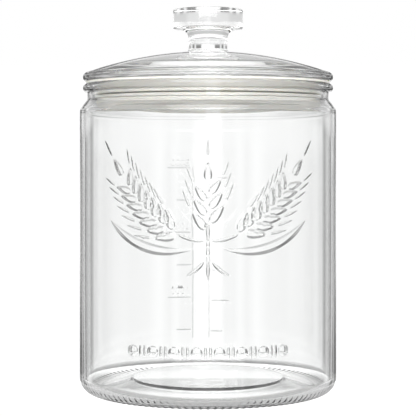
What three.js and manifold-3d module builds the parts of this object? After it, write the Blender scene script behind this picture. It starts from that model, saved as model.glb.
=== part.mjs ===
// Glass cookie jar: a straight-sided jar on a knurled bearing ring, a domed glass lid with a disc knob,
// and the finned seal ring that the lid carries into the jar's mouth.
// Millimetres, +Z up. The jar stands on the plane z = 0 and every piece is turned about the Z axis.
import * as THREE from "three";
import { mergeVertices } from "three/addons/utils/BufferGeometryUtils.js";
import Module from "manifold-3d";

// Jar body
const JAR_HEIGHT = 203.5; // from the bench to the top of the rim
const BODY_RADIUS = 85;
const BODY_WALL = 4.2;
const HEEL_ROUND = 10.2; // outside corner between the wall and the base
const SHOULDER_HEIGHT = 6.6; // slope from the body in to the neck
const SHOULDER_ROUND = 4;

// Jar base, pushed up in the middle
const BEARING_WIDTH = 4.3; // flat land that touches the bench
const PUSH_UP = 4.2; // hollow under the middle of the base
const FLOOR_THICKNESS = 5;
const FLOOR_FLAT_RADIUS = 50; // level part of the raised floor, above and below
const FLOOR_EDGE = 1; // round on the rim of the raised floor
const PUSH_UP_ROUND = 7;
const TROUGH_THICKNESS = 4.1; // glass over the bearing land

// Jar neck and rim bead
const NECK_INSET = 5; // how far the neck is set in from the body
const NECK_HEIGHT = 5;
const NECK_WALL = 4.4;
const NECK_ROUND = 1.5;
const RIM_BEAD = 3; // how far the rim bead stands out from the neck
const RIM_HEIGHT = 5.4;

// Knurling pressed into the heel
const GROOVE_COUNT = 108;
const GROOVE_RADIUS = 1.9;
const GROOVE_DEPTH = 0.7;
const GROOVE_LENGTH = 9;
const GROOVE_TILT = THREE.MathUtils.degToRad(17); // lean of a groove up the heel's curve

// Seal ring
const FLANGE_THICKNESS = 1.3; // the part pinched between lid and rim
const FLANGE_REACH = 0.7; // how far the flange stands out past the neck
const SLEEVE_DEPTH = 15.4; // below the underside of the flange
const SLEEVE_WALL = 2;
const FIN_COUNT = 4;
const FIN_PITCH = 3.5;
const FIN_FOOT = 0.5; // bare sleeve below the lowest fin
const FIN_REACH = 6.8; // from the sleeve to the tip of a fin
const FIN_ROOT = 2; // thickness of a fin where it leaves the sleeve
const FIN_TIP = 2.4; // the tip is a lip that lies along the mouth
const FIN_RISE = 0.8; // a fin's tip is pushed up as it enters the mouth

// Lid
const LID_REACH = 3; // how far the lid's rim stands out past the neck
const LID_RIM_HEIGHT = 5.1; // from the seat to the outer edge of the dome
const LID_RIM_ROUND = 2.9;
const DOME_RISE = 15; // from the outer edge of the dome to its crown
const DOME_WALL = 4.6;
const SKIRT_DEPTH = 15.2; // collar under the lid that carries the seal ring
const SKIRT_WALL = 4;
const SKIRT_ROUND = 1.2;

// Knob, in one piece with the lid
const STEM_RADIUS = 12.9;
const STEM_HEIGHT = 14.1; // from the crown of the dome to the underside of the knob
const STEM_FLARE = 6;
const KNOB_RADIUS = 23.2;
const KNOB_HEIGHT = 12.9; // straight side of the knob
const KNOB_TAPER = 1; // how far the knob's underside drops towards the stem
const KNOB_EDGE = 1; // small round on the knob's edges

// Fits
const SEAT_GAP = 0.1; // between the flat faces that rest on each other
const FIN_CLEARANCE = 0.3; // between a fin's tip and the jar's mouth
const SLEEVE_CLEARANCE = 0.3; // between the lid's skirt and the seal ring

// Facets
const TURN_STEPS = 56;
const ARC_TOLERANCE = 0.15; // how far a facet may stray from its arc
const DOME_STEPS = 6;
const GROOVE_SIDES = 6;

// Sizes that follow from the ones above
const NECK_RADIUS = BODY_RADIUS - NECK_INSET;
const MOUTH_RADIUS = NECK_RADIUS - NECK_WALL;
const RIM_RADIUS = NECK_RADIUS + RIM_BEAD;
const BORE_RADIUS = BODY_RADIUS - BODY_WALL;
const RIM_BOTTOM = JAR_HEIGHT - RIM_HEIGHT;
const NECK_BOTTOM = RIM_BOTTOM - NECK_HEIGHT;
const SHOULDER_BOTTOM = NECK_BOTTOM - SHOULDER_HEIGHT;
const BEARING_OUTSIDE = BODY_RADIUS - HEEL_ROUND;
const BEARING_INSIDE = BEARING_OUTSIDE - BEARING_WIDTH;
const FLANGE_BOTTOM = JAR_HEIGHT + SEAT_GAP;
const FLANGE_TOP = FLANGE_BOTTOM + FLANGE_THICKNESS;
const SLEEVE_OUTSIDE = MOUTH_RADIUS - FIN_CLEARANCE - FIN_REACH;
const SLEEVE_INSIDE = SLEEVE_OUTSIDE - SLEEVE_WALL;
const LID_SEAT = FLANGE_TOP + SEAT_GAP;
const LID_RADIUS = NECK_RADIUS + LID_REACH;
const LID_RIM_TOP = LID_SEAT + LID_RIM_HEIGHT;
const CROWN = LID_RIM_TOP + DOME_RISE;
const DOME_RADIUS = (LID_RADIUS ** 2 + DOME_RISE ** 2) / (2 * DOME_RISE);
const SKIRT_RADIUS = SLEEVE_INSIDE - SLEEVE_CLEARANCE;
const SKIRT_BORE = SKIRT_RADIUS - SKIRT_WALL;
const STEM_TOP = CROWN + STEM_HEIGHT;
const KNOB_BOTTOM = STEM_TOP + KNOB_TAPER;
const KNOB_TOP = KNOB_BOTTOM + KNOB_HEIGHT;

// A corner of a turned profile: its distance from the axis, its height and the radius that rounds it.
function corner(radius, height, round = 0) {
  return { at: new THREE.Vector2(radius, height), round };
}

// Points of the arc that rounds one corner. Two corners share the edge between them in proportion to their rounds.
function cornerArc({ at, round }, before, after) {
  const back = before.at.clone().sub(at);
  const ahead = after.at.clone().sub(at);
  const roomBack = (back.length() * round) / (round + before.round);
  const roomAhead = (ahead.length() * round) / (round + after.round);
  back.normalize();
  ahead.normalize();
  const half = Math.acos(THREE.MathUtils.clamp(back.dot(ahead), -1, 1)) / 2;
  const trim = Math.min(round / Math.tan(half), roomBack, roomAhead);
  const radius = trim * Math.tan(half);
  const middle = back.clone().add(ahead).normalize();
  const centre = at.clone().addScaledVector(middle, radius / Math.sin(half));
  const first = at.clone().addScaledVector(back, trim).sub(centre);
  const last = at.clone().addScaledVector(ahead, trim).sub(centre);
  const turn = Math.atan2(first.cross(last), first.dot(last));
  const widest = 2 * Math.acos(Math.max(0, 1 - ARC_TOLERANCE / radius));
  const steps = Math.max(1, Math.ceil(Math.abs(turn) / widest));
  const origin = new THREE.Vector2();
  return Array.from({ length: steps + 1 }, (_, k) =>
    first.clone().rotateAround(origin, (turn * k) / steps).add(centre),
  );
}

// The points of a profile whose corners are rounded by arcs.
function roundedProfile(corners) {
  return corners.flatMap((here, i) => {
    const before = corners[i - 1];
    const after = corners[i + 1];
    return here.round && before && after ? cornerArc(here, before, after) : [here.at];
  });
}

// A solid turned about Z from a profile that goes round its section anticlockwise.
function turned(points) {
  return new THREE.LatheGeometry(points, TURN_STEPS).rotateX(Math.PI / 2);
}

// How far an inside corner of the shoulder lies below the outside one, where the wall keeps its thickness.
function insideDrop(wall) {
  return wall * Math.tan(Math.atan2(NECK_INSET, SHOULDER_HEIGHT) / 2);
}

function jarProfile() {
  const floor = PUSH_UP + FLOOR_THICKNESS;
  return roundedProfile([
    corner(0, PUSH_UP),
    corner(FLOOR_FLAT_RADIUS, PUSH_UP, PUSH_UP_ROUND),
    corner(BEARING_INSIDE, 0),
    corner(BODY_RADIUS, 0, HEEL_ROUND),
    corner(BODY_RADIUS, SHOULDER_BOTTOM, SHOULDER_ROUND),
    corner(NECK_RADIUS, NECK_BOTTOM, NECK_ROUND),
    corner(NECK_RADIUS, RIM_BOTTOM),
    corner(RIM_RADIUS, RIM_BOTTOM, RIM_HEIGHT / 2),
    corner(RIM_RADIUS, JAR_HEIGHT, RIM_HEIGHT / 2),
    corner(MOUTH_RADIUS, JAR_HEIGHT, NECK_ROUND),
    corner(MOUTH_RADIUS, NECK_BOTTOM - insideDrop(NECK_WALL), NECK_ROUND),
    corner(BORE_RADIUS, SHOULDER_BOTTOM - insideDrop(BODY_WALL), SHOULDER_ROUND),
    corner(BORE_RADIUS, TROUGH_THICKNESS, HEEL_ROUND - BODY_WALL / 2),
    corner(BEARING_INSIDE, TROUGH_THICKNESS),
    corner(FLOOR_FLAT_RADIUS, floor, FLOOR_EDGE),
    corner(0, floor),
  ]);
}

// The rod that presses one scallop across the lower heel. The inner part of the bearing land stays flat.
function heelGroove(index) {
  const outward = new THREE.Vector2(Math.sin(GROOVE_TILT), -Math.cos(GROOVE_TILT));
  const heelCentre = new THREE.Vector2(BEARING_OUTSIDE, HEEL_ROUND);
  const middle = heelCentre.addScaledVector(outward, HEEL_ROUND + GROOVE_RADIUS - GROOVE_DEPTH);
  return new THREE.CylinderGeometry(GROOVE_RADIUS, GROOVE_RADIUS, GROOVE_LENGTH, GROOVE_SIDES)
    .rotateX(Math.PI / 2)
    .rotateY(Math.PI / 2 - GROOVE_TILT)
    .translate(middle.x, 0, middle.y)
    .rotateZ((2 * Math.PI * index) / GROOVE_COUNT);
}

// One fin, from its lower root to its upper root on the sleeve.
function finCorners(height) {
  const reach = SLEEVE_OUTSIDE + FIN_REACH;
  const tip = height + FIN_RISE;
  return [
    corner(SLEEVE_OUTSIDE, height - FIN_ROOT / 2),
    corner(reach, tip - FIN_TIP / 2),
    corner(reach, tip + FIN_TIP / 2),
    corner(SLEEVE_OUTSIDE, height + FIN_ROOT / 2),
  ];
}

function sealProfile() {
  const sleeveBottom = FLANGE_BOTTOM - SLEEVE_DEPTH;
  const flangeEdge = NECK_RADIUS + FLANGE_REACH;
  const lowestFin = sleeveBottom + FIN_FOOT + FIN_ROOT / 2;
  const finHeights = Array.from({ length: FIN_COUNT }, (_, k) => lowestFin + FIN_PITCH * k);
  return roundedProfile([
    corner(SLEEVE_INSIDE, sleeveBottom),
    corner(SLEEVE_OUTSIDE, sleeveBottom),
    ...finHeights.flatMap(finCorners),
    corner(SLEEVE_OUTSIDE, FLANGE_BOTTOM),
    corner(flangeEdge, FLANGE_BOTTOM),
    corner(flangeEdge, FLANGE_TOP),
    corner(SLEEVE_INSIDE, FLANGE_TOP),
    corner(SLEEVE_INSIDE, sleeveBottom),
  ]);
}

// Height of the lid's dome at a distance from the axis, on its top or sunk to its underside.
function domeHeight(radius, sunk = 0) {
  const ball = DOME_RADIUS - sunk;
  return CROWN - DOME_RADIUS + Math.sqrt(ball ** 2 - radius ** 2);
}

// Corners along the dome between two radii, with both ends left out.
function domeCorners(from, to, sunk) {
  return Array.from({ length: DOME_STEPS - 1 }, (_, k) => {
    const radius = THREE.MathUtils.lerp(from, to, (k + 1) / DOME_STEPS);
    return corner(radius, domeHeight(radius, sunk));
  });
}

function lidProfile() {
  const skirtBottom = LID_SEAT - SKIRT_DEPTH;
  return roundedProfile([
    corner(0, CROWN - DOME_WALL),
    ...domeCorners(0, SKIRT_BORE, DOME_WALL),
    corner(SKIRT_BORE, domeHeight(SKIRT_BORE, DOME_WALL), SKIRT_WALL),
    corner(SKIRT_BORE, skirtBottom, SKIRT_ROUND),
    corner(SKIRT_RADIUS, skirtBottom, SKIRT_ROUND),
    corner(SKIRT_RADIUS, LID_SEAT),
    corner(LID_RADIUS, LID_SEAT, LID_RIM_ROUND),
    corner(LID_RADIUS, LID_RIM_TOP, LID_RIM_ROUND),
    ...domeCorners(LID_RADIUS, STEM_RADIUS, 0),
    corner(STEM_RADIUS, domeHeight(STEM_RADIUS), STEM_FLARE),
    corner(STEM_RADIUS, STEM_TOP, STEM_FLARE),
    corner(KNOB_RADIUS, KNOB_BOTTOM, KNOB_EDGE),
    corner(KNOB_RADIUS, KNOB_TOP, KNOB_EDGE),
    corner(0, KNOB_TOP),
  ]);
}

const wasm = await Module();
wasm.setup();

// A closed geometry as a solid that can be cut, with its shared vertices merged.
function solidFrom(geometry) {
  const bare = new THREE.BufferGeometry();
  bare.setAttribute("position", geometry.getAttribute("position"));
  bare.setIndex(geometry.getIndex());
  const merged = mergeVertices(bare, 1e-3);
  return new wasm.Manifold(
    new wasm.Mesh({
      numProp: 3,
      vertProperties: merged.getAttribute("position").array,
      triVerts: new Uint32Array(merged.getIndex().array),
    }),
  );
}

function geometryFrom(solid) {
  const { vertProperties, triVerts } = solid.getMesh();
  const geometry = new THREE.BufferGeometry();
  geometry.setAttribute("position", new THREE.BufferAttribute(vertProperties, 3));
  geometry.setIndex(new THREE.BufferAttribute(triVerts, 1));
  geometry.computeVertexNormals();
  return geometry;
}

function knurledJar() {
  let jar = solidFrom(turned(jarProfile()));
  for (let k = 0; k < GROOVE_COUNT; k++) {
    jar = jar.subtract(solidFrom(heelGroove(k)));
  }
  return geometryFrom(jar);
}

const clearGlass = new THREE.MeshStandardMaterial({
  color: 0xe9efee,
  roughness: 0.04,
  metalness: 0,
  transparent: true,
  opacity: 0.35,
});
const creamRubber = new THREE.MeshStandardMaterial({ color: 0xe1e0d8, roughness: 0.45, metalness: 0 });

function piece(name, geometry, material) {
  const mesh = new THREE.Mesh(geometry, material);
  mesh.name = name;
  return mesh;
}

const cookieJar = new THREE.Group();
cookieJar.add(
  piece("glass_jar", knurledJar(), clearGlass),
  piece("seal_ring", turned(sealProfile()), creamRubber),
  piece("glass_lid", turned(lidProfile()), clearGlass),
);

export default cookieJar;
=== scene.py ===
"""Glass cookie jar: a clear pressed-glass jar with a knurled foot, a cream silicone seal ring, and a
domed glass lid with a disc knob. A wheat sheaf and a row of beads are pressed into the jar's front, and
a volume scale into its back. Metres, +Z up, the front faces -Y."""
import math

import bmesh
import bpy
from mathutils import Matrix, Vector
from mathutils.geometry import delaunay_2d_cdt
from mathutils.kdtree import KDTree


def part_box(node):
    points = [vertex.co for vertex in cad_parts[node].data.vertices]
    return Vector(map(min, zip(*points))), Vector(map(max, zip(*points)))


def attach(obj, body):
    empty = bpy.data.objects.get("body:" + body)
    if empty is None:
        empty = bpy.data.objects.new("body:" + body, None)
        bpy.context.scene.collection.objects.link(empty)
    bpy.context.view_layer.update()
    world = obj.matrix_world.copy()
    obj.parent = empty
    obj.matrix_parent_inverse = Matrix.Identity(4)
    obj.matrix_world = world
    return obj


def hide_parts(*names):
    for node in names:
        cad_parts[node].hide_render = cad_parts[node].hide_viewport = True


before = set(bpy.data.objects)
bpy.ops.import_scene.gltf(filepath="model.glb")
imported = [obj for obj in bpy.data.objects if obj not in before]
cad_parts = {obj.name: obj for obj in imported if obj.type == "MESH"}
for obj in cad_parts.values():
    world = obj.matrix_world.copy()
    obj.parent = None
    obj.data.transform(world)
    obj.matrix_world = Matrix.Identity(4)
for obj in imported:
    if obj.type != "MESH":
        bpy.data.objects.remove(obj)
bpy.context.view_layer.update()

MM = 0.001


def degrees(first, last):
    return math.radians(first), math.radians(last)


# Sizes that the frame gives
_, jar_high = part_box("glass_jar")
seal_low, seal_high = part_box("seal_ring")
lid_low, lid_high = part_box("glass_lid")
BODY_RADIUS = jar_high.x
RIM_TOP = jar_high.z
FLANGE_RADIUS = seal_high.x
FLANGE_TOP = seal_high.z
SLEEVE_BOTTOM = seal_low.z
LID_RADIUS = lid_high.x
SKIRT_BOTTOM = lid_low.z
KNOB_TOP = lid_high.z

# Jar body and base
BODY_WALL = 4.2 * MM
HEEL_ROUND = 10.2 * MM
SHOULDER_HEIGHT = 6.6 * MM
SHOULDER_ROUND = 4 * MM
BEARING_WIDTH = 4.3 * MM
PUSH_UP = 4.2 * MM
FLOOR_THICKNESS = 5 * MM
FLOOR_FLAT_RADIUS = 50 * MM
FLOOR_EDGE = 1 * MM
PUSH_UP_ROUND = 7 * MM
TROUGH_THICKNESS = 4.1 * MM
TROUGH_ROUND = 3 * MM
LAND_ROUND = 1.2 * MM

# Jar neck and rim bead
NECK_INSET = 5 * MM
NECK_HEIGHT = 5 * MM
NECK_WALL = 4.4 * MM
NECK_ROUND = 1.5 * MM
RIM_BEAD = 3 * MM
RIM_HEIGHT = 5.4 * MM
BEAD_FILLET = 0.7 * MM

NECK_RADIUS = BODY_RADIUS - NECK_INSET
MOUTH_RADIUS = NECK_RADIUS - NECK_WALL
RIM_RADIUS = NECK_RADIUS + RIM_BEAD
BORE_RADIUS = BODY_RADIUS - BODY_WALL
RIM_BOTTOM = RIM_TOP - RIM_HEIGHT
NECK_BOTTOM = RIM_BOTTOM - NECK_HEIGHT
SHOULDER_BOTTOM = NECK_BOTTOM - SHOULDER_HEIGHT
BEARING_OUTSIDE = BODY_RADIUS - HEEL_ROUND
BEARING_INSIDE = BEARING_OUTSIDE - BEARING_WIDTH

# Knurling round the heel: scallops centred on one angle of the heel's arc, measured from the bench
SCALLOP_COUNT = 108
SCALLOP_DEPTH = 0.7 * MM
SCALLOP_MIDDLE = math.radians(17)
SCALLOP_REACH = math.radians(21)
KNURL_LAND = 1.2 * MM
KNURL_TOP = math.radians(42)
KNURL_ROWS = 11
SCALLOP_STEPS = 8

# Seal ring
FLANGE_THICKNESS = 1.3 * MM
SLEEVE_WALL = 2 * MM
FIN_CLEARANCE = 0.3 * MM
FIN_COUNT = 4
FIN_PITCH = 3.5 * MM
FIN_FOOT = 0.5 * MM
FIN_REACH = 6.8 * MM
FIN_ROOT = 2 * MM
FIN_TIP = 2.4 * MM
FIN_RISE = 0.8 * MM
RUBBER_ROUND = 0.35 * MM
FLANGE_BOTTOM = FLANGE_TOP - FLANGE_THICKNESS
SLEEVE_OUTSIDE = MOUTH_RADIUS - FIN_CLEARANCE - FIN_REACH
SLEEVE_INSIDE = SLEEVE_OUTSIDE - SLEEVE_WALL

# Lid and knob
SEAT_GAP = 0.1 * MM
SLEEVE_CLEARANCE = 0.3 * MM
LID_RIM_HEIGHT = 5.1 * MM
LID_RIM_ROUND = 2.9 * MM
DOME_RISE = 15 * MM
DOME_WALL = 4.6 * MM
SKIRT_WALL = 4 * MM
SKIRT_ROUND = 1.2 * MM
SEAT_ROUND = 1 * MM
STEM_RADIUS = 12.9 * MM
STEM_FLARE = 6 * MM
KNOB_RADIUS = 23.2 * MM
KNOB_HEIGHT = 12.9 * MM
KNOB_TAPER = 1 * MM
KNOB_EDGE = 1 * MM
LID_SEAT = FLANGE_TOP + SEAT_GAP
LID_RIM_TOP = LID_SEAT + LID_RIM_HEIGHT
CROWN = LID_RIM_TOP + DOME_RISE
DOME_RADIUS = (LID_RADIUS**2 + DOME_RISE**2) / (2 * DOME_RISE)
SKIRT_RADIUS = SLEEVE_INSIDE - SLEEVE_CLEARANCE
SKIRT_BORE = SKIRT_RADIUS - SKIRT_WALL
KNOB_BOTTOM = KNOB_TOP - KNOB_HEIGHT
STEM_TOP = KNOB_BOTTOM - KNOB_TAPER
DOME_STEPS = 28

# Facets
COLUMNS = 2 * SCALLOP_COUNT
ARC_STEP = math.radians(7)
SAME_POINT = 2e-6

# Wall that carries the pressed designs, unrolled: u runs round it from the front, v is the height
WALL_LOW = 12 * MM
WALL_HIGH = 182 * MM
WALL_ROWS = 24
WALL_CLEAR = 1.1 * MM
SEAM_TURN = -math.pi / 2
BACK_U = math.pi * BODY_RADIUS
TRIANGLES_INSIDE = 1
SAME_DRAWN_POINT = 1e-4

# Points and steps of a path, half a groove's section from its middle out, and the slopes of a motif
PATH_POINTS = ("Start", "Middle", "End")
PATH_STEPS = 64
HALF_GROOVE = ((0.42, 0.9), (0.74, 0.6), (1, 0), (1.5, 0))
GROOVE_SLOPE = (*((-x, depth) for x, depth in reversed(HALF_GROOVE)), (0, 1), *HALF_GROOVE)
MOTIF_RINGS = ((1.1, 0), (1, 0), (0.84, 0.45), (0.66, 0.82), (0.4, 0.98))
MOTIF_POINTS = 28
GRAIN_POINT = 0.45
BAR_SQUARE = 0.45

# Wheat sheaf on the front. A path goes from its start by a middle point to its end
SIDE_EAR = ((2.6 * MM, 104 * MM), (29 * MM, 105 * MM), (56 * MM, 142 * MM))
MIDDLE_EAR = ((0, 104 * MM), (0, 121 * MM), (0, 138 * MM))
SIDE_GRAINS = 7
SIDE_FIRST = 0.34
MIDDLE_GRAINS = 3
MIDDLE_FIRST = 0.36
EAR_LAST = 0.97
EAR_TAPER = 0.82
EAR_GAP = 0.04
GRAIN_SIZE = (15 * MM, 5.4 * MM, 1.2 * MM)
GRAIN_TURN = math.radians(38)
GRAIN_ASIDE = 5.4 * MM
TIP_SIZE = (13 * MM, 4.8 * MM, 1.1 * MM)
TIP_AHEAD = 8.4 * MM
AWN_SIZE = (13 * MM, 1.5 * MM, 0.7 * MM)
AWN_TURN = math.radians(24)
AWN_ASIDE = 13.2 * MM
AWN_AHEAD = 13.4 * MM
TIP_AWN_AHEAD = 23.2 * MM
STEM_WIDTH = 1.1 * MM
STEM_DEPTH = 1 * MM
STEM_FADE = 0.35
STEM_STEPS = 26
BLADE = ((8.5 * MM, 99.5 * MM), (40 * MM, 92 * MM), (68 * MM, 116 * MM))
BLADE_WIDTH = 3 * MM
BLADE_DEPTH = 1.2 * MM
BLADE_FADE = 0.8
BLADE_STEPS = 48
SIDE_TAIL = ((2.6 * MM, 91.5 * MM), (6 * MM, 86.5 * MM), (13 * MM, 83 * MM))
MIDDLE_TAIL = ((0, 91.5 * MM), (0, 87 * MM), (0, 82 * MM))
BAND = ((0, 94.4 * MM), (0, 97.6 * MM), (0, 100.8 * MM))
BAND_TURNS = 3
BAND_SIZE = (2.6 * MM, 12 * MM, 1.2 * MM)

# Row of beads near the foot
BEAD_ROW_HEIGHT = 36 * MM
BEAD_ROW_REACH = 49 * MM
BEAD_COUNT = 8
BEAD_SIZE = (7.4 * MM, 7.4 * MM, 1.2 * MM)
LOZENGE_SIZE = (2 * MM, 8 * MM, 1 * MM)
LOZENGE_PAIR = 3 * MM

# Volume scale on the back: litres and quarts, read from behind
SCALE_ZERO = 6.5 * MM
LITRE_RISE = 47.5 * MM
QUART_RISE = 44.95 * MM
LITRE_LINE = 11.4 * MM
QUART_LINE = -0.7 * MM
SCALE_MARKS = 3
SCALE_OVER = 3 * MM
SCALE_FOOT = 22 * MM
SCALE_WIDTH = 0.42 * MM
SCALE_DEPTH = 0.2 * MM
SCALE_FADE = 0.15
SCALE_STEPS = 60
TICK_STEPS = 14
WHOLE_SIZE = (1.0, 1.0, 1.0)
TICK_GAP = 0.9 * MM
LITRE_TICKS = (19.5 * MM, 12 * MM)
QUART_TICKS = (14.5 * MM, 9.5 * MM)
NUMBER_SIZE = 7.4 * MM
NUMBER_LIFT = 1.5 * MM
NUMBER_STEP = 0.4 * MM
NUMBER_RINGS = ((-0.16 * MM, 0), (0, 0), (0.24 * MM, 1))
LITRE_NUMBERS = ("1000", "2000", "3000")
LITRE_NUMBER_SHIFT = 2 * MM
QUART_NUMBERS = ("1", "2", "3")
QUART_NUMBER_SHIFT = -9.5 * MM

# Finishes: a tint is two colours that a mottle blends, and a mottle is a scale and a detail
GLASS_TINT = ((0.985, 0.988, 0.986, 1), (0.972, 0.977, 0.975, 1))
GLASS_TINT_MOTTLE = (16, 1)
GLASS_SMEAR_MOTTLE = (70, 4)
GLASS_SMEAR = 0.012
GLASS_IOR = 1.5
RUBBER_TINT = ((0.965, 0.945, 0.885, 1), (0.94, 0.915, 0.85, 1))
RUBBER_TINT_MOTTLE = (45, 3)
RUBBER_GRAIN_MOTTLE = (900, 2)
RUBBER_GRAIN_HEIGHT = 0.2 * MM
RUBBER_GRAIN_STRENGTH = 0.2
RUBBER_ROUGHNESS = 0.38
RUBBER_UNEVEN = 0.2
RUBBER_DEPTH = (4 * MM, 3 * MM, 2 * MM)
RUBBER_GLOW_THROUGH = 0.15
FLOOR_TINT = ((0.27, 0.27, 0.27, 1), (0.25, 0.25, 0.25, 1))
FLOOR_TINT_MOTTLE = (6, 2)
FLOOR_ROUGHNESS = 0.9
WHITE = (1, 1, 1, 1)

# Studio as the jar sees it: turns are from straight behind or straight ahead, heights are sines
CARD_LIGHT = 1.05
SIDE_EDGE = degrees(21, 31)
SIDE_SHADE = 0.12

# Two narrow dark flags and a wide dim one on either side, behind and, eased, in front
NEAR_FLAG = (degrees(12, 15.5), degrees(25, 29))
FAR_FLAG = (degrees(31, 34), degrees(38, 44))
FLAG_HEIGHT = ((-0.6, -0.45), (0.055, 0.078))
FLAG_SHADE = 0.78
DIM_SIDE = (degrees(48, 56), degrees(74, 102))
DIM_HEIGHT = ((-0.24, -0.17), (0.04, 0.075))
DIM_SHADE = 0.75

# Bands all round: a faint stripe, a dark one over the card, paler beside it, and a dim gap higher up
STRIPE = ((0.055, 0.075), (0.105, 0.125))
STRIPE_SHADE = 0.24
HIGH_FLAG = ((0.152, 0.168), (0.22, 0.25))
HIGH_FLAG_SHADE = 0.45
CARD_TOP_SHADE = 0.8
GAP = ((0.27, 0.31), (0.5, 0.62))
GAP_SHADE = 0.45

# Dark pit low behind the jar, a light table straight below and a dimmer zenith
PIT = ((-0.74, -0.68), (-0.24, -0.2))
PIT_SHADE = 0.7
TABLE = (-0.78, -0.7)
TABLE_LIGHT = 0.3
ZENITH = (0.84, 0.92)
ZENITH_SHADE = 0.3

# Front, by the turn from straight behind: brighter above the level, dimmer towards the ceiling
FRONT_EDGE = degrees(90, 120)
FRONT_LIGHT = 1.45
FRONT_RISE = (0, 0.15)
FRONT_EASE = 0.3
CEILING = (0.45, 0.75)
CEILING_SHADE = 0.55

# Floor, and a painted shadow round the foot: a grey ring in the floor's glow that shows only through the
# glass
FLOOR_RADIUS = 0.1
FLOOR_SIDES = 96
FLOOR_GLOW = 1.0
FOOT_SHADOW_RING = ((60 * MM, 68 * MM), (90 * MM, 98 * MM))
FOOT_SHADOW_FRONT = (10 * MM, 60 * MM)
FOOT_SHADOW_GREY = (0.36, 0.36, 0.36, 1)

# Soft boxes in front: name, place, width and height, power
LAMP_TARGET = (0, 0, 0.15)
SOFT_BOXES = (
    ("front strip", (0.12, -1.45, 0.55), (0.34, 1.4), 2.2),
    ("front box", (0, -2, 1.5), (3, 2.4), 84),
)

# Bounces of light that thick glass needs
GLASS_BOUNCES = 48
GLOSSY_BOUNCES = 8

# Camera: level with the upper part of the jar
CAMERA_DISTANCE = 1.0
CAMERA_HEIGHT = 154.86 * MM
CAMERA_LENS = 130.2
SENSOR_WIDTH = 36
CAMERA_SHIFT = -0.1212


class Wire:
    """An output socket of a node. Sums on it add Math nodes, and node() adds a node of any kind."""

    def __init__(self, socket):
        self.socket = socket

    def node(self, kind, settings=None, sockets=None, out=0):
        """Add a node, with its settings and its sockets' values or links. Gives one output, if any."""
        tree = self.socket.id_data
        made = tree.nodes.new(kind)
        for name, value in (settings or {}).items():
            setattr(made, name, value)
        for key, value in (sockets or {}).items():
            socket = find_socket(made.inputs, key)
            for wire in value if isinstance(value, list) else [value]:
                if isinstance(wire, Wire):
                    tree.links.new(wire.socket, socket)
                else:
                    socket.default_value = wire
        return Wire(find_socket(made.outputs, out)) if made.outputs else None

    def also(self, out):
        """Another output of the same node."""
        return Wire(find_socket(self.socket.node.outputs, out))

    def maths(self, operation, *values):
        return self.node("ShaderNodeMath", {"operation": operation}, dict(enumerate(values)))

    def __add__(self, other):
        return self.maths("ADD", self, other)

    def __radd__(self, other):
        return self.maths("ADD", other, self)

    def __sub__(self, other):
        return self.maths("SUBTRACT", self, other)

    def __rsub__(self, other):
        return self.maths("SUBTRACT", other, self)

    def __mul__(self, other):
        return self.maths("MULTIPLY", self, other)

    def __rmul__(self, other):
        return self.maths("MULTIPLY", other, self)

    def __truediv__(self, other):
        return self.maths("DIVIDE", self, other)

    def __rtruediv__(self, other):
        return self.maths("DIVIDE", other, self)

    def __pow__(self, other):
        return self.maths("POWER", self, other)

    def __rpow__(self, other):
        return self.maths("POWER", other, self)


def find_socket(sockets, key):
    if isinstance(key, int):
        return sockets[key]
    return next(socket for socket in sockets if socket.name == key and socket.enabled)


# Geometry Nodes trees

def new_tree(name, **inputs):
    """A tree with a geometry input and the named inputs, as wires by name."""
    tree = bpy.data.node_groups.new(name, "GeometryNodeTree")
    tree.interface.new_socket("Geometry", in_out="INPUT", socket_type="NodeSocketGeometry")
    for label, kind in inputs.items():
        tree.interface.new_socket(label, in_out="INPUT", socket_type="NodeSocket" + kind)
    tree.interface.new_socket("Material", in_out="INPUT", socket_type="NodeSocketMaterial")
    tree.interface.new_socket("Geometry", in_out="OUTPUT", socket_type="NodeSocketGeometry")
    start = tree.nodes.new("NodeGroupInput")
    return {socket.name: Wire(socket) for socket in start.outputs if socket.name}


def end_tree(shape, start):
    """Close a tree with smooth faces, real copies and their material. Gives the tree."""
    shape = shape.node("GeometryNodeSetShadeSmooth", {}, {"Geometry": shape})
    shape = shape.node("GeometryNodeRealizeInstances", {}, {"Geometry": shape})
    shape = shape.node("GeometryNodeSetMaterial", {}, {"Geometry": shape, "Material": start["Material"]})
    tree = shape.socket.id_data
    finish = tree.nodes.new("NodeGroupOutput")
    tree.links.new(shape.socket, finish.inputs[0])
    return tree


def merged(shape):
    return shape.node("GeometryNodeMergeByDistance", {}, {"Geometry": shape, "Distance": SAME_POINT})


def vector(x=0.0, y=0.0, z=0.0):
    """A vector from numbers and wires, of which at least one is a wire."""
    wire = next(value for value in (x, y, z) if isinstance(value, Wire))
    return wire.node("ShaderNodeCombineXYZ", {}, {"X": x, "Y": y, "Z": z})


def vector_sum(*vectors):
    total = vectors[0]
    for other in vectors[1:]:
        total = total.node("ShaderNodeVectorMath", {"operation": "ADD"}, {0: total, 1: other})
    return total


def scaled(direction, amount):
    sockets = {0: direction, "Scale": amount}
    return direction.node("ShaderNodeVectorMath", {"operation": "SCALE"}, sockets)


def parts_of(direction):
    """The X of a vector, whose node also has its Y and Z."""
    return direction.node("ShaderNodeSeparateXYZ", {}, {"Vector": direction})


def grid_from(seed, columns):
    """A grid with a row for each seed point. Gives it, each vertex's column and its seed point's X."""
    rows = seed.node(
        "GeometryNodeAttributeDomainSize", {"component": "MESH"}, {"Geometry": seed}, "Point Count"
    )
    grid = seed.node("GeometryNodeMeshGrid", {}, {"Vertices X": columns + 1, "Vertices Y": rows})
    index = seed.node("GeometryNodeInputIndex")
    column = seed.maths("FLOOR", index / rows)
    place = seed.node("GeometryNodeInputPosition")
    point = seed.node(
        "GeometryNodeSampleIndex",
        {"data_type": "FLOAT_VECTOR"},
        {"Geometry": seed, "Value": place, "Index": index - column * rows},
    )
    return grid, column, parts_of(point)


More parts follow.
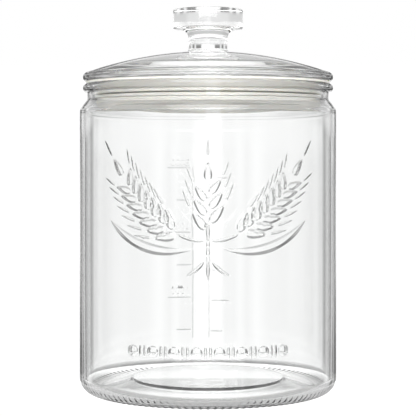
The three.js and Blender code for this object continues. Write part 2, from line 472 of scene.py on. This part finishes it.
def path_of(start, factor):
    """A point at a share of the curve from Start by Middle to End, and the ways along and across it."""
    points = {name: start[name] for name in PATH_POINTS}
    curve = factor.node("GeometryNodeCurveQuadraticBezier", {}, {"Resolution": PATH_STEPS, **points})
    place = curve.node(
        "GeometryNodeSampleCurve", {"mode": "FACTOR"}, {"Curves": curve, "Factor": factor}, "Position"
    )
    along = place.also("Tangent")
    x = parts_of(along)
    return place, along, vector(x.also("Y") * -1, x)


def turned_tree():
    """A profile line, drawn in X and Z, turned about the Z axis."""
    start = new_tree("turned profile", Columns="Int")
    grid, column, radius = grid_from(start["Geometry"], start["Columns"])
    turn = column / start["Columns"] * math.tau
    place = vector(
        radius * turn.maths("SINE", turn), radius * turn.maths("COSINE", turn) * -1, radius.also("Z")
    )
    solid = grid.node("GeometryNodeSetPosition", {}, {"Geometry": grid, "Position": place})
    return end_tree(merged(solid), start)


def ring_tree():
    """Copies of one sector set side by side round the Z axis."""
    start = new_tree("ring of sectors", Count="Int")
    count = start["Count"]
    points = count.node("GeometryNodePoints", {}, {"Count": count})
    turn = count.node("GeometryNodeInputIndex") / count * math.tau
    copies = points.node(
        "GeometryNodeInstanceOnPoints",
        {},
        {"Points": points, "Instance": start["Geometry"], "Rotation": vector(z=turn)},
    )
    ring = copies.node("GeometryNodeRealizeInstances", {}, {"Geometry": copies})
    return end_tree(merged(ring), start)


def motif_row_tree():
    """Copies of a motif along a path, turned from it, moved aside and ahead, smaller towards its end."""
    start = new_tree(
        "row of motifs",
        Start="Vector",
        Middle="Vector",
        End="Vector",
        Count="Int",
        First="Float",
        Last="Float",
        Turn="Float",
        Aside="Float",
        Ahead="Float",
        Size="Vector",
        Taper="Float",
    )
    count = start["Count"]
    share = count.node("GeometryNodeInputIndex") / count.maths("MAXIMUM", count - 1, 1)
    factor = start["First"] + share * (start["Last"] - start["First"])
    shrink = 1 - share * (1 - start["Taper"])
    middle, along, across = path_of(start, factor)
    x = parts_of(along)
    heading = x.maths("ARCTAN2", x.also("Y"), x) + start["Turn"]
    place = vector_sum(
        middle, scaled(across, start["Aside"] * shrink), scaled(along, start["Ahead"] * shrink)
    )
    points = count.node("GeometryNodePoints", {}, {"Count": count, "Position": place})
    copies = points.node(
        "GeometryNodeInstanceOnPoints",
        {},
        {
            "Points": points,
            "Instance": start["Geometry"],
            "Rotation": vector(z=heading),
            "Scale": scaled(start["Size"], shrink),
        },
    )
    return end_tree(copies, start)


def groove_tree():
    """A section swept along a path in the plane, dying out at both ends."""
    start = new_tree(
        "groove along a path",
        Start="Vector",
        Middle="Vector",
        End="Vector",
        Steps="Int",
        Width="Float",
        Depth="Float",
        Fade="Float",
    )
    grid, column, side = grid_from(start["Geometry"], start["Steps"])
    factor = column / start["Steps"]
    wave = factor.maths("SINE", factor * math.pi)
    swell = wave.maths("MAXIMUM", wave, 0) ** start["Fade"]
    middle, _, across = path_of(start, factor)
    place = vector_sum(
        middle,
        scaled(across, side * start["Width"] * swell),
        vector(z=side.also("Z") * start["Depth"] * swell),
    )
    groove = grid.node("GeometryNodeSetPosition", {}, {"Geometry": grid, "Position": place})
    return end_tree(merged(groove), start)


def number_tree():
    """The outlines of a pressed number: a flat margin, the top of its sides and its bottom's edge."""
    start = new_tree("pressed number", Text="String", Size="Float", Place="Vector", Depth="Float")
    font = bpy.data.fonts.load("<builtin>")
    text = start["Text"].node(
        "GeometryNodeStringToCurves", {"font": font}, {"String": start["Text"], "Size": start["Size"]}
    )
    lines = text.node("GeometryNodeRealizeInstances", {}, {"Geometry": text})
    lines = lines.node(
        "GeometryNodeResampleCurve", {"mode": "LENGTH"}, {"Curve": lines, "Length": NUMBER_STEP}
    )
    x = parts_of(lines.node("GeometryNodeInputTangent"))
    inward = vector(x.also("Y"), x * -1)
    rings = []
    for inset, height in NUMBER_RINGS:
        shift = vector_sum(scaled(inward, inset), vector(z=start["Depth"] * height))
        ring = lines.node("GeometryNodeSetPosition", {}, {"Geometry": lines, "Offset": shift})
        rings.append(ring.node("GeometryNodeCurveToMesh", {}, {"Curve": ring}))
    number = rings[0].node("GeometryNodeJoinGeometry", {}, {"Geometry": rings})
    moved = {"Geometry": number, "Translation": start["Place"]}
    return end_tree(number.node("GeometryNodeTransform", {}, moved), start)


def grown(tree, seed, **values):
    """The plain mesh that a tree makes from a seed mesh."""
    holder = bpy.data.objects.new(tree.name, seed)
    bpy.context.scene.collection.objects.link(holder)
    modifier = holder.modifiers.new(tree.name, "NODES")
    modifier.node_group = tree
    for item in tree.interface.items_tree:
        if item.in_out == "INPUT" and item.name in values:
            modifier[item.identifier] = values[item.name]
    graph = bpy.context.evaluated_depsgraph_get()
    mesh = bpy.data.meshes.new_from_object(holder.evaluated_get(graph))
    bpy.data.objects.remove(holder)
    return mesh


# Turned profiles

def corner(radius, height, fillet=0):
    return radius, height, fillet


def corner_arc(here, before, after):
    """The arc that rounds one corner. Two corners share their edge in proportion to their fillets."""
    at = Vector(here[:2])
    fillet = here[2]
    back = Vector(before[:2]) - at
    ahead = Vector(after[:2]) - at
    room_back = back.length * fillet / (fillet + before[2])
    room_ahead = ahead.length * fillet / (fillet + after[2])
    back.normalize()
    ahead.normalize()
    half = back.angle(ahead) / 2
    trim = min(fillet / math.tan(half), room_back, room_ahead)
    centre = at + (back + ahead).normalized() * trim / math.cos(half)
    first = at + back * trim - centre
    last = at + ahead * trim - centre
    turn = math.copysign(math.pi - 2 * half, first.x * last.y - first.y * last.x)
    steps = max(2, math.ceil(abs(turn) / ARC_STEP))
    return [Matrix.Rotation(turn * k / steps, 2) @ first + centre for k in range(steps + 1)]


def rounded(corners):
    """The points of a profile whose corners are rounded by arcs."""
    points = [Vector(corners[0][:2])]
    for before, here, after in zip(corners, corners[1:], corners[2:]):
        points += corner_arc(here, before, after) if here[2] else [Vector(here[:2])]
    return points + [Vector(corners[-1][:2])]


def line_mesh(name, points):
    """A chain of edges through points given as X and Z."""
    mesh = bpy.data.meshes.new(name)
    chain = [(k, k + 1) for k in range(len(points) - 1)]
    mesh.from_pydata([(x, 0, z) for x, z in points], chain, [])
    return mesh


def turned(name, points, material):
    return grown(TURNED, line_mesh(name, points), Columns=COLUMNS, Material=material)


# Pressed designs, drawn flat: X round the wall, Y up it, Z the depth in the glass

class Plan:
    """Points and edges of everything pressed into the jar's wall."""

    def __init__(self):
        self.points = []
        self.edges = []

    def add(self, mesh):
        first = len(self.points)
        self.points += [vertex.co.copy() for vertex in mesh.vertices]
        self.edges += [(a + first, b + first) for a, b in (edge.vertices for edge in mesh.edges)]
        bpy.data.meshes.remove(mesh)


def motif_mesh(name, outline):
    """Rings of edges: an outline of unit size, drawn in as it deepens, and one point at the bottom."""
    points = []
    edges = []
    for share, height in MOTIF_RINGS:
        first = len(points)
        for k in range(MOTIF_POINTS):
            x, y = outline(math.tau * k / MOTIF_POINTS)
            points.append((x * share, y * share, height))
            edges.append((first + k, first + (k + 1) % MOTIF_POINTS))
    points.append((0, 0, 1))
    mesh = bpy.data.meshes.new(name)
    mesh.from_pydata(points, edges, [])
    return mesh


def grain_outline(turn):
    """An egg that narrows towards +X."""
    return 0.5 * math.cos(turn), 0.5 * math.sin(turn) * (1 - GRAIN_POINT * math.cos(turn))


def bead_outline(turn):
    return 0.5 * math.cos(turn), 0.5 * math.sin(turn)


def bar_outline(turn):
    """A rectangle with well rounded corners."""
    across = math.cos(turn)
    up = math.sin(turn)
    return (
        0.5 * math.copysign(abs(across) ** BAR_SQUARE, across),
        0.5 * math.copysign(abs(up) ** BAR_SQUARE, up),
    )


def flat(u, v):
    return u, v, 0.0


def path_inputs(path):
    return {name: flat(*point) for name, point in zip(PATH_POINTS, path)}


def motif_row(
    plan, motif, path, size, count=1, first=0.0, last=1.0, turn=0.0, aside=0.0, ahead=0.0, taper=1.0
):
    plan.add(
        grown(
            MOTIF_ROW,
            motif,
            Count=count,
            First=first,
            Last=last,
            Turn=turn,
            Aside=aside,
            Ahead=ahead,
            Size=size,
            Taper=taper,
            **path_inputs(path),
        )
    )


def groove_mesh(path, width, depth, fade, steps):
    sizes = {"Steps": steps, "Width": width, "Depth": depth, "Fade": fade}
    return grown(GROOVE, GROOVE_SECTION, **path_inputs(path), **sizes)


def groove(plan, *shape):
    plan.add(groove_mesh(*shape))


def straight(start, end):
    """A straight path between two points."""
    return start, ((start[0] + end[0]) / 2, (start[1] + end[1]) / 2), end


def path_start(path, share):
    """The first share of a path, as a path."""
    start, middle, end = (Vector(point) for point in path)
    near = start.lerp(middle, share)
    return start, near, near.lerp(middle.lerp(end, share), share)


def wheat_ear(plan, path, grains, first):
    """A stem with grains from a share of its path on, by turns on either side, each with its awn."""
    groove(plan, path_start(path, first - EAR_GAP), STEM_WIDTH, STEM_DEPTH, STEM_FADE, STEM_STEPS)
    stagger = (EAR_LAST - first) / (grains - 0.5) / 2
    for side, shift in ((1, 0), (-1, stagger)):
        last = EAR_LAST - stagger + shift
        row = {"count": grains, "first": first + shift, "last": last, "taper": EAR_TAPER}
        motif_row(plan, GRAIN, path, GRAIN_SIZE, turn=side * GRAIN_TURN, aside=side * GRAIN_ASIDE, **row)
        awn = {"turn": side * AWN_TURN, "aside": side * AWN_ASIDE, "ahead": AWN_AHEAD}
        motif_row(plan, GRAIN, path, AWN_SIZE, **awn, **row)
    motif_row(plan, GRAIN, path, TIP_SIZE, first=1.0, ahead=TIP_AHEAD)
    motif_row(plan, GRAIN, path, AWN_SIZE, first=1.0, ahead=TIP_AWN_AHEAD)


def wheat_sheaf(plan):
    """Three ears and two blades of leaf bound by a band, with the cut ends of the stems below it."""
    wheat_ear(plan, MIDDLE_EAR, MIDDLE_GRAINS, MIDDLE_FIRST)
    for side in (1, -1):
        wheat_ear(plan, mirrored(SIDE_EAR, side), SIDE_GRAINS, SIDE_FIRST)
        groove(plan, mirrored(BLADE, side), BLADE_WIDTH, BLADE_DEPTH, BLADE_FADE, BLADE_STEPS)
        groove(plan, mirrored(SIDE_TAIL, side), STEM_WIDTH, STEM_DEPTH, STEM_FADE, STEM_STEPS)
    groove(plan, MIDDLE_TAIL, STEM_WIDTH, STEM_DEPTH, STEM_FADE, STEM_STEPS)
    motif_row(plan, BAR, BAND, BAND_SIZE, count=BAND_TURNS, turn=math.pi / 2)


def mirrored(path, side):
    return [(side * u, v) for u, v in path]


def bead_row(plan):
    """Beads between pairs of upright lozenges, in a row near the foot."""
    line = straight((-BEAD_ROW_REACH, BEAD_ROW_HEIGHT), (BEAD_ROW_REACH, BEAD_ROW_HEIGHT))
    motif_row(plan, BEAD, line, BEAD_SIZE, count=BEAD_COUNT)
    half_pitch = 0.5 / (BEAD_COUNT - 1)
    for ahead in (-LOZENGE_PAIR / 2, LOZENGE_PAIR / 2):
        motif_row(
            plan,
            BEAD,
            line,
            LOZENGE_SIZE,
            count=BEAD_COUNT - 1,
            first=half_pitch,
            last=1 - half_pitch,
            ahead=ahead,
        )


def tick_mesh(length):
    line = straight((-length / 2, 0), (length / 2, 0))
    return groove_mesh(line, SCALE_WIDTH, SCALE_DEPTH, SCALE_FADE, TICK_STEPS)


def scale_line(plan, place, rise, side, ticks):
    """One upright line, with a tick at each half and each whole measure."""
    u = BACK_U + place
    top = SCALE_ZERO + SCALE_MARKS * rise
    upright = straight((u, SCALE_FOOT), (u, top + SCALE_OVER))
    groove(plan, upright, SCALE_WIDTH, SCALE_DEPTH, SCALE_FADE, SCALE_STEPS)
    for length, first in zip(ticks, (1, 0.5)):
        low = SCALE_ZERO + first * rise
        high = low + (SCALE_MARKS - 1) * rise
        aside = -side * (length / 2 + TICK_GAP)
        marks = straight((u, low), (u, high))
        tick = tick_mesh(length)
        motif_row(plan, tick, marks, WHOLE_SIZE, SCALE_MARKS, turn=math.pi / 2, aside=aside)


def scale_numbers(plan, place, rise, numbers, shift):
    for mark, text in enumerate(numbers, 1):
        u = BACK_U + place + shift
        v = SCALE_ZERO + mark * rise + NUMBER_LIFT
        seed = bpy.data.meshes.new("number")
        plan.add(grown(NUMBER, seed, Text=text, Size=NUMBER_SIZE, Place=flat(u, v), Depth=SCALE_DEPTH))


def volume_scale(plan):
    """Litres and quarts on the back of the jar."""
    scale_line(plan, LITRE_LINE, LITRE_RISE, 1, LITRE_TICKS)
    scale_line(plan, QUART_LINE, QUART_RISE, -1, QUART_TICKS)
    scale_numbers(plan, LITRE_LINE, LITRE_RISE, LITRE_NUMBERS, LITRE_NUMBER_SHIFT)
    scale_numbers(plan, QUART_LINE, QUART_RISE, QUART_NUMBERS, QUART_NUMBER_SHIFT)


# Jar

def wall_net(plan):
    """Points and edges of the unrolled wall: the designs, its borders, and a net clear of the designs."""
    tree = point_tree(plan.points)
    points = list(plan.points)
    edges = list(plan.edges)
    border = {}
    for row in range(WALL_ROWS + 1):
        v = WALL_LOW + (WALL_HIGH - WALL_LOW) * row / WALL_ROWS
        for column in range(COLUMNS + 1):
            u = BODY_RADIUS * (SEAM_TURN + math.tau * column / COLUMNS)
            at_border = row in (0, WALL_ROWS) or column in (0, COLUMNS)
            if not at_border and tree.find(flat(u, v))[2] < WALL_CLEAR:
                continue
            if at_border:
                border[row, column] = len(points)
            points.append(Vector(flat(u, v)))
    for (row, column), k in border.items():
        for beside in ((row + 1, column), (row, column + 1)):
            along_border = row == beside[0] in (0, WALL_ROWS) or column == beside[1] in (0, COLUMNS)
            if along_border and beside in border:
                edges.append((k, border[beside]))
    return points, edges


def point_tree(points):
    tree = KDTree(len(points))
    for k, point in enumerate(points):
        tree.insert(flat(point.x, point.y), k)
    tree.balance()
    return tree


def pressed_wall(plan):
    """The wall's faces through the plan's points, bent round the jar."""
    points, edges = wall_net(plan)
    drawn = [Vector((point.x, point.y)) / MM for point in points]
    net = delaunay_2d_cdt(drawn, edges, [], TRIANGLES_INSIDE, SAME_DRAWN_POINT, True)
    found, _, faces, sources, _, _ = net
    tree = point_tree(drawn)
    bent = []
    for point, source in zip(found, sources):
        near = source[0] if source else tree.find(flat(*point))[1]
        turn = point.x * MM / BODY_RADIUS
        radius = BODY_RADIUS - points[near].z
        bent.append((radius * math.sin(turn), -radius * math.cos(turn), point.y * MM))
    mesh = bpy.data.meshes.new("pressed wall")
    mesh.from_pydata(bent, [], faces)
    return mesh


def heel_point(turn):
    """A point on the heel's arc and the way out of the glass there, by the angle up from the bench."""
    out = Vector((math.sin(turn), -math.cos(turn)))
    return Vector((BEARING_OUTSIDE, HEEL_ROUND)) + out * HEEL_ROUND, out


def knurl_rows():
    """Rows across the knurling: a point, the way out of the glass and the scallops' depth there."""
    land = Vector((BEARING_OUTSIDE - KNURL_LAND, 0))
    rows = [(land, Vector((0, -1)), 0.0)]
    for k in range(KNURL_ROWS + 1):
        turn = KNURL_TOP * k / KNURL_ROWS
        point, out = heel_point(turn)
        off_middle = (turn - SCALLOP_MIDDLE) / SCALLOP_REACH
        rows.append((point, out, SCALLOP_DEPTH * max(0.0, 1 - off_middle**2)))
    return rows


def knurl_sector():
    """One scallop: rows of points across it, with fewer points in the first and the last row."""
    shape = bmesh.new()
    rows = knurl_rows()
    made = []
    for k, (point, out, depth) in enumerate(rows):
        steps = 2 if k in (0, len(rows) - 1) else SCALLOP_STEPS
        row = []
        for step in range(steps + 1):
            share = step / steps
            sunk = point - out * depth * (0.5 - 0.5 * math.cos(math.tau * share))
            turn = math.tau / SCALLOP_COUNT * share
            row.append(shape.verts.new((sunk.x * math.sin(turn), -sunk.x * math.cos(turn), sunk.y)))
        made.append(row)
    for lower, upper in zip(made, made[1:]):
        join_rows(shape, lower, upper)
    mesh = bpy.data.meshes.new("scallop")
    shape.to_mesh(mesh)
    shape.free()
    return mesh


def join_rows(shape, lower, upper):
    """Faces between two rows of points, of which one may have several times as many as the other."""
    if len(lower) == len(upper):
        for k in range(len(lower) - 1):
            shape.faces.new((lower[k], lower[k + 1], upper[k + 1], upper[k]))
        return
    few, many = sorted((lower, upper), key=len)
    times = (len(many) - 1) // (len(few) - 1)
    for k in range(len(few) - 1):
        fan = many[k * times : (k + 1) * times + 1]
        half = times // 2
        for a, b in zip(fan[:half], fan[1:]):
            shape.faces.new((few[k], a, b))
        for a, b in zip(fan[half:], fan[half + 1 :]):
            shape.faces.new((few[k + 1], a, b))
        shape.faces.new((few[k], fan[half], few[k + 1]))


def base_profile():
    """Under the base, from the axis to the knurling on the bearing land."""
    return rounded(
        [
            corner(0, PUSH_UP),
            corner(FLOOR_FLAT_RADIUS, PUSH_UP, PUSH_UP_ROUND),
            corner(BEARING_INSIDE, 0, LAND_ROUND),
            corner(BEARING_OUTSIDE - KNURL_LAND, 0),
        ]
    )


def heel_profile():
    """From the top of the knurling up the heel to the wall that carries the designs."""
    steps = math.ceil((math.pi / 2 - KNURL_TOP) / ARC_STEP)
    arc = [heel_point(KNURL_TOP + (math.pi / 2 - KNURL_TOP) * k / steps)[0] for k in range(steps + 1)]
    return arc + [Vector((BODY_RADIUS, WALL_LOW))]


def inside_drop(wall):
    """How far an inside corner of the shoulder is below the outside one, for an even wall."""
    return wall * math.tan(math.atan2(NECK_INSET, SHOULDER_HEIGHT) / 2)


def mouth_profile():
    """From the top of the wall over shoulder, neck and rim, then down the bore and along the floor."""
    floor = PUSH_UP + FLOOR_THICKNESS
    return rounded(
        [
            corner(BODY_RADIUS, WALL_HIGH),
            corner(BODY_RADIUS, SHOULDER_BOTTOM, SHOULDER_ROUND),
            corner(NECK_RADIUS, NECK_BOTTOM, NECK_ROUND),
            corner(NECK_RADIUS, RIM_BOTTOM, BEAD_FILLET),
            corner(RIM_RADIUS, RIM_BOTTOM, RIM_HEIGHT / 2),
            corner(RIM_RADIUS, RIM_TOP, RIM_HEIGHT / 2),
            corner(MOUTH_RADIUS, RIM_TOP, NECK_ROUND),
            corner(MOUTH_RADIUS, NECK_BOTTOM - inside_drop(NECK_WALL), NECK_ROUND),
            corner(BORE_RADIUS, SHOULDER_BOTTOM - inside_drop(BODY_WALL), SHOULDER_ROUND),
            corner(BORE_RADIUS, TROUGH_THICKNESS, HEEL_ROUND - BODY_WALL / 2),
            corner(BEARING_INSIDE, TROUGH_THICKNESS, TROUGH_ROUND),
            corner(FLOOR_FLAT_RADIUS, floor, FLOOR_EDGE),
            corner(0, floor),
        ]
    )


def glass_jar(material):
    plan = Plan()
    wheat_sheaf(plan)
    bead_row(plan)
    volume_scale(plan)
    profiles = (base_profile(), heel_profile(), mouth_profile())
    stretches = [turned("stretch", profile, material) for profile in profiles]
    knurling = grown(RING, knurl_sector(), Count=SCALLOP_COUNT, Material=material)
    return joined("glass_jar_clear", [*stretches, knurling, pressed_wall(plan)], material)


# Seal ring and lid

def fin(height):
    """One fin, from its lower root to its upper root on the sleeve."""
    reach = SLEEVE_OUTSIDE + FIN_REACH
    tip = height + FIN_RISE
    return [
        corner(SLEEVE_OUTSIDE, height - FIN_ROOT / 2, RUBBER_ROUND),
        corner(reach, tip - FIN_TIP / 2, RUBBER_ROUND),
        corner(reach, tip + FIN_TIP / 2, RUBBER_ROUND),
        corner(SLEEVE_OUTSIDE, height + FIN_ROOT / 2, RUBBER_ROUND),
    ]


def seal_ring(material):
    lowest = SLEEVE_BOTTOM + FIN_FOOT + FIN_ROOT / 2
    fins = [point for k in range(FIN_COUNT) for point in fin(lowest + FIN_PITCH * k)]
    middle = (SLEEVE_BOTTOM + FLANGE_TOP) / 2
    profile = rounded(
        [
            corner(SLEEVE_INSIDE, middle),
            corner(SLEEVE_INSIDE, SLEEVE_BOTTOM, RUBBER_ROUND),
            corner(SLEEVE_OUTSIDE, SLEEVE_BOTTOM, RUBBER_ROUND),
            *fins,
            corner(SLEEVE_OUTSIDE, FLANGE_BOTTOM, RUBBER_ROUND),
            corner(FLANGE_RADIUS, FLANGE_BOTTOM, RUBBER_ROUND),
            corner(FLANGE_RADIUS, FLANGE_TOP, RUBBER_ROUND),
            corner(SLEEVE_INSIDE, FLANGE_TOP, RUBBER_ROUND),
            corner(SLEEVE_INSIDE, middle),
        ]
    )
    return joined("seal_ring_cream", [turned("seal ring", profile, material)], material)


def dome(first, last, sunk=0.0):
    """Corners along the dome between two radii, without its ends, on its top or sunk below it."""
    radii = [first + (last - first) * k / DOME_STEPS for k in range(1, DOME_STEPS)]
    return [corner(radius, dome_height(radius, sunk)) for radius in radii]


def dome_height(radius, sunk=0.0):
    return CROWN - DOME_RADIUS + math.sqrt((DOME_RADIUS - sunk) ** 2 - radius**2)


def glass_lid(material):
    profile = rounded(
        [
            corner(0, CROWN - DOME_WALL),
            *dome(0, SKIRT_BORE - SKIRT_WALL, DOME_WALL),
            corner(SKIRT_BORE, dome_height(SKIRT_BORE, DOME_WALL), SKIRT_WALL),
            corner(SKIRT_BORE, SKIRT_BOTTOM, SKIRT_ROUND),
            corner(SKIRT_RADIUS, SKIRT_BOTTOM, SKIRT_ROUND),
            corner(SKIRT_RADIUS, LID_SEAT, SEAT_ROUND),
            corner(LID_RADIUS, LID_SEAT, LID_RIM_ROUND),
            corner(LID_RADIUS, LID_RIM_TOP, LID_RIM_ROUND),
            *dome(LID_RADIUS, STEM_RADIUS),
            corner(STEM_RADIUS, dome_height(STEM_RADIUS), STEM_FLARE),
            corner(STEM_RADIUS, STEM_TOP, STEM_FLARE),
            corner(KNOB_RADIUS, KNOB_BOTTOM, KNOB_EDGE),
            corner(KNOB_RADIUS, KNOB_TOP, KNOB_EDGE),
            corner(0, KNOB_TOP),
        ]
    )
    return joined("glass_lid_clear", [turned("lid", profile, material)], material)


def joined(name, meshes, material):
    """One closed object from meshes whose borders meet, with its faces pointing outwards."""
    shape = bmesh.new()
    for mesh in meshes:
        shape.from_mesh(mesh)
        bpy.data.meshes.remove(mesh)
    bmesh.ops.remove_doubles(shape, verts=shape.verts, dist=SAME_POINT)
    bmesh.ops.recalc_face_normals(shape, faces=shape.faces)
    for face in shape.faces:
        face.smooth = True
        face.material_index = 0
    whole = bpy.data.meshes.new(name)
    shape.to_mesh(whole)
    shape.free()
    whole.materials.append(material)
    made = bpy.data.objects.new(name, whole)
    bpy.context.scene.collection.objects.link(made)
    return made


# Finishes

def new_material(name):
    """An empty material and its Object coordinates."""
    material = bpy.data.materials.new(name)
    material.use_nodes = True
    material.node_tree.nodes.clear()
    coordinates = material.node_tree.nodes.new("ShaderNodeTexCoord")
    return material, Wire(coordinates.outputs["Object"])


def end_material(shader):
    shader.node("ShaderNodeOutputMaterial", {}, {"Surface": shader})


def noise(place, scale, detail):
    return place.node("ShaderNodeTexNoise", {}, {"Vector": place, "Scale": scale, "Detail": detail})


def blend(factor, first, second):
    colours = {"Factor": factor, "A": first, "B": second}
    return factor.node("ShaderNodeMix", {"data_type": "RGBA"}, colours, "Result")


def clear_glass():
    """Pressed glass, a little uneven in tint and polish."""
    material, place = new_material("clear pressed glass")
    tint = noise(place, *GLASS_TINT_MOTTLE)
    smears = noise(place, *GLASS_SMEAR_MOTTLE)
    shader = place.node(
        "ShaderNodeBsdfPrincipled",
        {},
        {
            "Base Color": blend(tint, *GLASS_TINT),
            "Roughness": smears * GLASS_SMEAR,
            "IOR": GLASS_IOR,
            "Transmission Weight": 1.0,
        },
    )
    end_material(shader)
    return material


def cream_rubber():
    """Satin silicone: a little mottled, with a fine matt grain."""
    material, place = new_material("cream silicone")
    mottle = noise(place, *RUBBER_TINT_MOTTLE)
    grain = noise(place, *RUBBER_GRAIN_MOTTLE)
    bump = place.node(
        "ShaderNodeBump",
        {},
        {"Strength": RUBBER_GRAIN_STRENGTH, "Distance": RUBBER_GRAIN_HEIGHT, "Height": grain},
    )
    shader = place.node(
        "ShaderNodeBsdfPrincipled",
        {},
        {
            "Base Color": blend(mottle, *RUBBER_TINT),
            "Roughness": RUBBER_ROUGHNESS + grain * RUBBER_UNEVEN,
            "Subsurface Weight": RUBBER_GLOW_THROUGH,
            "Subsurface Radius": RUBBER_DEPTH,
            "Normal": bump,
        },
    )
    end_material(shader)
    return material


# Studio

def smooth_step(value, edge, low, high):
    return value.node(
        "ShaderNodeMapRange",
        {"interpolation_type": "SMOOTHSTEP"},
        {"Value": value, "From Min": edge[0], "From Max": edge[1], "To Min": low, "To Max": high},
    )


def between(value, edges):
    """One between two eased edges, and nothing outside them."""
    return smooth_step(value, edges[0], 0, 1) * smooth_step(value, edges[1], 1, 0)


def studio_light():
    """The light from every side. The camera itself sees plain white behind the jar."""
    world = bpy.data.worlds.new("studio")
    world.use_nodes = True
    bpy.context.scene.world = world
    tree = world.node_tree
    tree.nodes.clear()
    x = parts_of(Wire(tree.nodes.new("ShaderNodeTexCoord").outputs["Generated"]))
    y = x.also("Y")
    height = x.also("Z")
    sideways = x.maths("ABSOLUTE", x)
    turn = x.maths("ARCTAN2", sideways, x.maths("ABSOLUTE", y))
    beside = smooth_step(turn, SIDE_EDGE, 0, 1)
    front = smooth_step(x.maths("ARCTAN2", sideways, y), FRONT_EDGE, 0, 1)
    eased = 1 - FRONT_EASE * front
    flags = between(turn, NEAR_FLAG) + between(turn, FAR_FLAG)
    flags = FLAG_SHADE * flags * between(height, FLAG_HEIGHT)
    dim = DIM_SHADE * between(turn, DIM_SIDE) * between(height, DIM_HEIGHT)
    over_card = CARD_TOP_SHADE + (HIGH_FLAG_SHADE - CARD_TOP_SHADE) * beside
    pit = PIT_SHADE * between(height, PIT) * (1 - beside) * (1 - front)
    light = CARD_LIGHT * (1 - SIDE_SHADE * beside)
    light = light * (1 - (flags + dim) * eased)
    light = light * (1 - over_card * between(height, HIGH_FLAG) * eased)
    light = light * (1 - STRIPE_SHADE * between(height, STRIPE))
    light = light * (1 - GAP_SHADE * between(height, GAP))
    light = light * (1 - pit)
    rise = smooth_step(height, FRONT_RISE, 0, FRONT_LIGHT - 1)
    light = light * (1 + (rise - CEILING_SHADE * smooth_step(height, CEILING, 0, 1)) * front)
    light = light + TABLE_LIGHT * smooth_step(height, TABLE, 1, 0)
    light = light * (1 - ZENITH_SHADE * smooth_step(height, ZENITH, 0, 1))
    straight_on = x.node("ShaderNodeLightPath", out="Is Camera Ray")
    seen = light.maths("MAXIMUM", light, straight_on)
    background = seen.node("ShaderNodeBackground", {}, {"Color": WHITE, "Strength": seen})
    background.node("ShaderNodeOutputWorld", {}, {"Surface": background})


def floor_disc():
    """A round white floor, with a painted shadow round the foot, a grey ring in its glow, that only the
    glass shows.
    """
    shape = bmesh.new()
    bmesh.ops.create_circle(shape, cap_ends=True, segments=FLOOR_SIDES, radius=FLOOR_RADIUS)
    mesh = bpy.data.meshes.new("floor")
    shape.to_mesh(mesh)
    shape.free()
    material, place = new_material("white floor")
    paint = blend(noise(place, *FLOOR_TINT_MOTTLE), *FLOOR_TINT)
    x = parts_of(place)
    y = x.also("Y")
    radius = x.maths("SQRT", x * x + y * y)
    straight_on = x.node("ShaderNodeLightPath", out="Is Camera Ray")
    # Painted shadow: the glow goes grey in a ring round the foot, fading out behind it, while the camera
    # itself still sees white
    foot = between(radius, FOOT_SHADOW_RING) * smooth_step(y, FOOT_SHADOW_FRONT, 1, 0) * (1 - straight_on)
    shader = place.node(
        "ShaderNodeBsdfPrincipled",
        {},
        {
            "Base Color": paint,
            "Roughness": FLOOR_ROUGHNESS,
            "Emission Color": blend(foot, WHITE, FOOT_SHADOW_GREY),
            "Emission Strength": FLOOR_GLOW,
        },
    )
    end_material(shader)
    mesh.materials.append(material)
    made = bpy.data.objects.new("floor", mesh)
    bpy.context.scene.collection.objects.link(made)


def soft_box(name, place, size, power):
    lamp = bpy.data.lights.new(name, "AREA")
    lamp.shape = "RECTANGLE"
    lamp.size, lamp.size_y = size
    lamp.energy = power
    made = bpy.data.objects.new(name, lamp)
    made.location = place
    made.rotation_euler = (Vector(LAMP_TARGET) - Vector(place)).to_track_quat("-Z", "Y").to_euler()
    made.visible_camera = False
    bpy.context.scene.collection.objects.link(made)


def camera():
    lens = bpy.data.cameras.new("camera")
    lens.lens = CAMERA_LENS
    lens.sensor_width = SENSOR_WIDTH
    lens.shift_y = CAMERA_SHIFT
    made = bpy.data.objects.new("camera", lens)
    made.location = (0, -CAMERA_DISTANCE, CAMERA_HEIGHT)
    made.rotation_euler = (math.pi / 2, 0, 0)
    bpy.context.scene.collection.objects.link(made)
    bpy.context.scene.camera = made


TURNED = turned_tree()
RING = ring_tree()
MOTIF_ROW = motif_row_tree()
GROOVE = groove_tree()
NUMBER = number_tree()
GROOVE_SECTION = line_mesh("groove section", GROOVE_SLOPE)
GRAIN = motif_mesh("grain", grain_outline)
BEAD = motif_mesh("bead", bead_outline)
BAR = motif_mesh("bar", bar_outline)

clear = clear_glass()
cream = cream_rubber()
jar = glass_jar(clear)
seal = seal_ring(cream)
lid = glass_lid(clear)

for made, node, body, slot in (
    (jar, "glass_jar", "jar", "clear_glass"),
    (seal, "seal_ring", "seal", "seal_rubber"),
    (lid, "glass_lid", "lid", "clear_glass"),
):
    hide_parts(node)
    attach(made, body)

camera()
floor_disc()
studio_light()
for box in SOFT_BOXES:
    soft_box(*box)

scene = bpy.context.scene
scene.view_settings.view_transform = "Standard"
scene.cycles.use_denoising = True
scene.cycles.max_bounces = GLASS_BOUNCES
scene.cycles.transmission_bounces = GLASS_BOUNCES
scene.cycles.glossy_bounces = GLOSSY_BOUNCES
